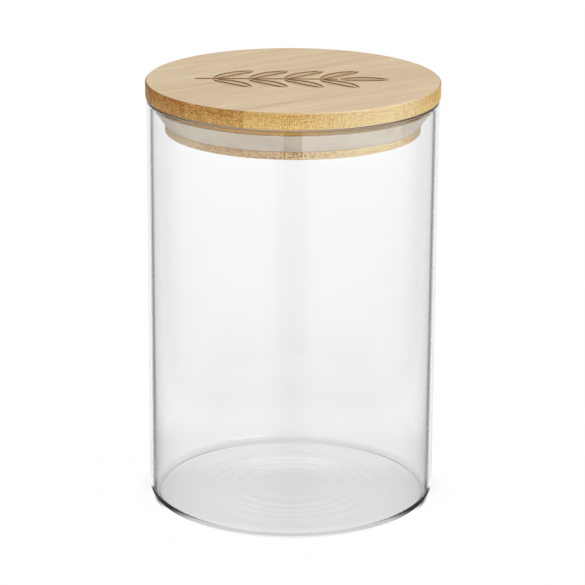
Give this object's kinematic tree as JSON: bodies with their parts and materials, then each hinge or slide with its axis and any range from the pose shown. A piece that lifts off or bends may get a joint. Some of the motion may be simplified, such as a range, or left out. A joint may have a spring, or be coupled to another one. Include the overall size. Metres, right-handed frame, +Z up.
{
  "type": "lidded glass canister",
  "caption": "Straight-sided clear glass storage jar with a round laminated bamboo lid, whose stepped plug carries a flared silicone sealing ring.",
  "frame": {"origin": "middle of the base, on the surface that the jar stands on", "axes": "+Z up along the jar's axis; +X to the right and -Y to the front in the picture's view"},
  "size_m": [0.1, 0.1, 0.1479],
  "materials": {
    "clear_glass": "clear, smooth, fire-polished at the rim",
    "silicone": "satin, milky and slightly translucent",
    "bamboo": "fine-sanded and clear-oiled, long grain along the strips, end grain at their ends"
  },
  "bodies": {
    "jar": {"glass_jar": "clear_glass"},
    "seal": {"seal_ring": "silicone"},
    "lid": {"lid_top_strip_1": "bamboo", "lid_top_strip_2": "bamboo", "lid_top_strip_3": "bamboo", "lid_top_strip_4": "bamboo", "lid_top_strip_5": "bamboo", "lid_core_strip_1": "bamboo", "lid_core_strip_2": "bamboo", "lid_core_strip_3": "bamboo", "lid_core_strip_4": "bamboo", "lid_core_strip_5": "bamboo", "lid_base_strip_1": "bamboo", "lid_base_strip_2": "bamboo", "lid_base_strip_3": "bamboo", "lid_base_strip_4": "bamboo", "lid_base_strip_5": "bamboo"}
  },
  "joints": [
    {"name": "lid_lift", "type": "slide", "parent": "jar", "child": "seal", "axis": [0, 0, 1], "range_m": [0, 0.06]},
    {"name": "lid_turn", "type": "hinge", "parent": "seal", "child": "lid", "pos_m": [0, 0, 0.1423], "axis": [0, 0, 1], "continuous": true}
  ]
}
